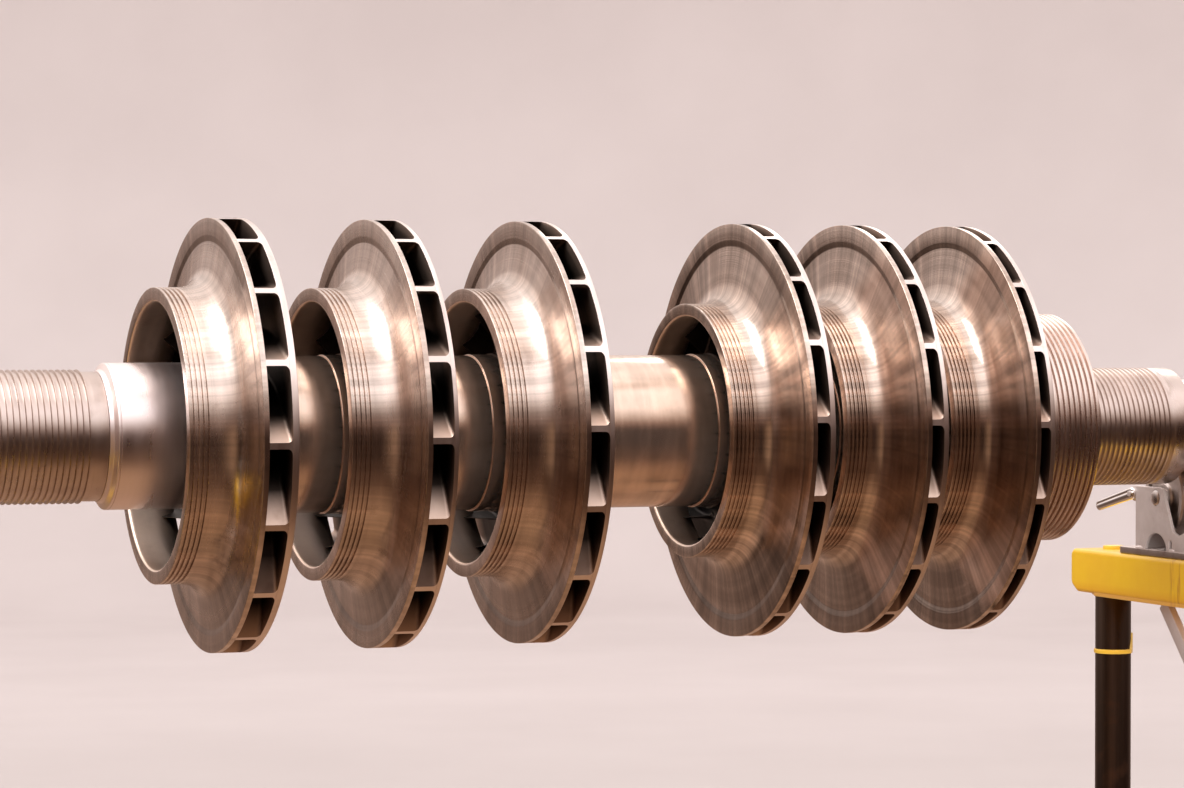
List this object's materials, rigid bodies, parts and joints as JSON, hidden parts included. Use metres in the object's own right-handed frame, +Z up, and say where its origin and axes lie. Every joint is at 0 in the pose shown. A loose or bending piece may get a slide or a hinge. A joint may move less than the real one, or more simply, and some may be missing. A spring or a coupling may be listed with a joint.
{
  "type": "compressor rotor",
  "caption": "Multistage centrifugal compressor rotor with shrouded impellers, sleeves and a balance drum, lying on two roller stands.",
  "frame": {"origin": "on the floor, under the middle of the rotor's length and under its axis", "axes": "+X along the shaft towards the coupling end, +Y to the back, +Z up"},
  "size_m": [1.88, 0.43, 1.15],
  "materials": {
    "turned_steel": "fine turned",
    "bright_steel": "ground",
    "drum_steel": "grooved",
    "bracket_steel": "zinc plated",
    "roller_steel": "smooth",
    "lever_chrome": "polished",
    "post_steel": "drawn tube",
    "yellow_paint": "gloss, worn"
  },
  "bodies": {
    "stands": {"left_stand_frame": "post_steel", "left_stand_beam": "yellow_paint", "left_roller_head": "bracket_steel", "right_stand_frame": "post_steel", "right_stand_beam": "yellow_paint", "right_roller_head": "bracket_steel"},
    "rotor": {"shaft": "bright_steel", "left_labyrinth_sleeve": "turned_steel", "nose_sleeve": "bright_steel", "impeller_1_disc": "turned_steel", "impeller_1_cover": "bright_steel", "impeller_2_disc": "turned_steel", "impeller_2_cover": "bright_steel", "impeller_3_disc": "turned_steel", "impeller_3_cover": "bright_steel", "impeller_4_disc": "turned_steel", "impeller_4_cover": "bright_steel", "impeller_5_disc": "turned_steel", "impeller_5_cover": "bright_steel", "impeller_6_disc": "turned_steel", "impeller_6_cover": "bright_steel", "spacer_sleeve_1_2": "bright_steel", "spacer_sleeve_2_3": "bright_steel", "spacer_sleeve_3_4": "bright_steel", "spacer_sleeve_4_5": "bright_steel", "spacer_sleeve_5_6": "bright_steel", "balance_drum": "drum_steel", "right_labyrinth_sleeve": "turned_steel", "thrust_collar": "bright_steel", "thrust_locknut": "drum_steel", "coupling_nut": "drum_steel"},
    "left_front_roller": {"left_front_roller": "roller_steel"},
    "left_front_lever": {"left_front_lever": "lever_chrome"},
    "left_back_roller": {"left_back_roller": "roller_steel"},
    "left_back_lever": {"left_back_lever": "lever_chrome"},
    "right_front_roller": {"right_front_roller": "roller_steel"},
    "right_front_lever": {"right_front_lever": "lever_chrome"},
    "right_back_roller": {"right_back_roller": "roller_steel"},
    "right_back_lever": {"right_back_lever": "lever_chrome"}
  },
  "joints": [
    {"name": "rotor_spin", "type": "hinge", "parent": "stands", "child": "rotor", "pos_m": [0, 0, 0.95], "axis": [1, 0, 0], "continuous": true},
    {"name": "left_front_roller_spin", "type": "hinge", "parent": "stands", "child": "left_front_roller", "pos_m": [-0.7, -0.046, 0.87451], "axis": [1, 0, 0], "continuous": true},
    {"name": "left_front_lever_lift", "type": "hinge", "parent": "stands", "child": "left_front_lever", "pos_m": [-0.726, -0.096, 0.877], "axis": [-1, 0, 0], "range_deg": [0, 35]},
    {"name": "left_back_roller_spin", "type": "hinge", "parent": "stands", "child": "left_back_roller", "pos_m": [-0.7, 0.046, 0.87451], "axis": [1, 0, 0], "continuous": true},
    {"name": "left_back_lever_lift", "type": "hinge", "parent": "stands", "child": "left_back_lever", "pos_m": [-0.726, 0.096, 0.877], "axis": [1, 0, 0], "range_deg": [0, 35]},
    {"name": "right_front_roller_spin", "type": "hinge", "parent": "stands", "child": "right_front_roller", "pos_m": [0.624, -0.046, 0.87451], "axis": [1, 0, 0], "continuous": true},
    {"name": "right_front_lever_lift", "type": "hinge", "parent": "stands", "child": "right_front_lever", "pos_m": [0.598, -0.096, 0.877], "axis": [-1, 0, 0], "range_deg": [0, 35]},
    {"name": "right_back_roller_spin", "type": "hinge", "parent": "stands", "child": "right_back_roller", "pos_m": [0.624, 0.046, 0.87451], "axis": [1, 0, 0], "continuous": true},
    {"name": "right_back_lever_lift", "type": "hinge", "parent": "stands", "child": "right_back_lever", "pos_m": [0.598, 0.096, 0.877], "axis": [1, 0, 0], "range_deg": [0, 35]}
  ],
  "couplings": [
    {"joint": "left_front_roller_spin", "follows": "rotor_spin", "ratio": -1.2},
    {"joint": "left_back_roller_spin", "follows": "rotor_spin", "ratio": -1.2},
    {"joint": "right_front_roller_spin", "follows": "rotor_spin", "ratio": -1.2},
    {"joint": "right_back_roller_spin", "follows": "rotor_spin", "ratio": -1.2}
  ]
}
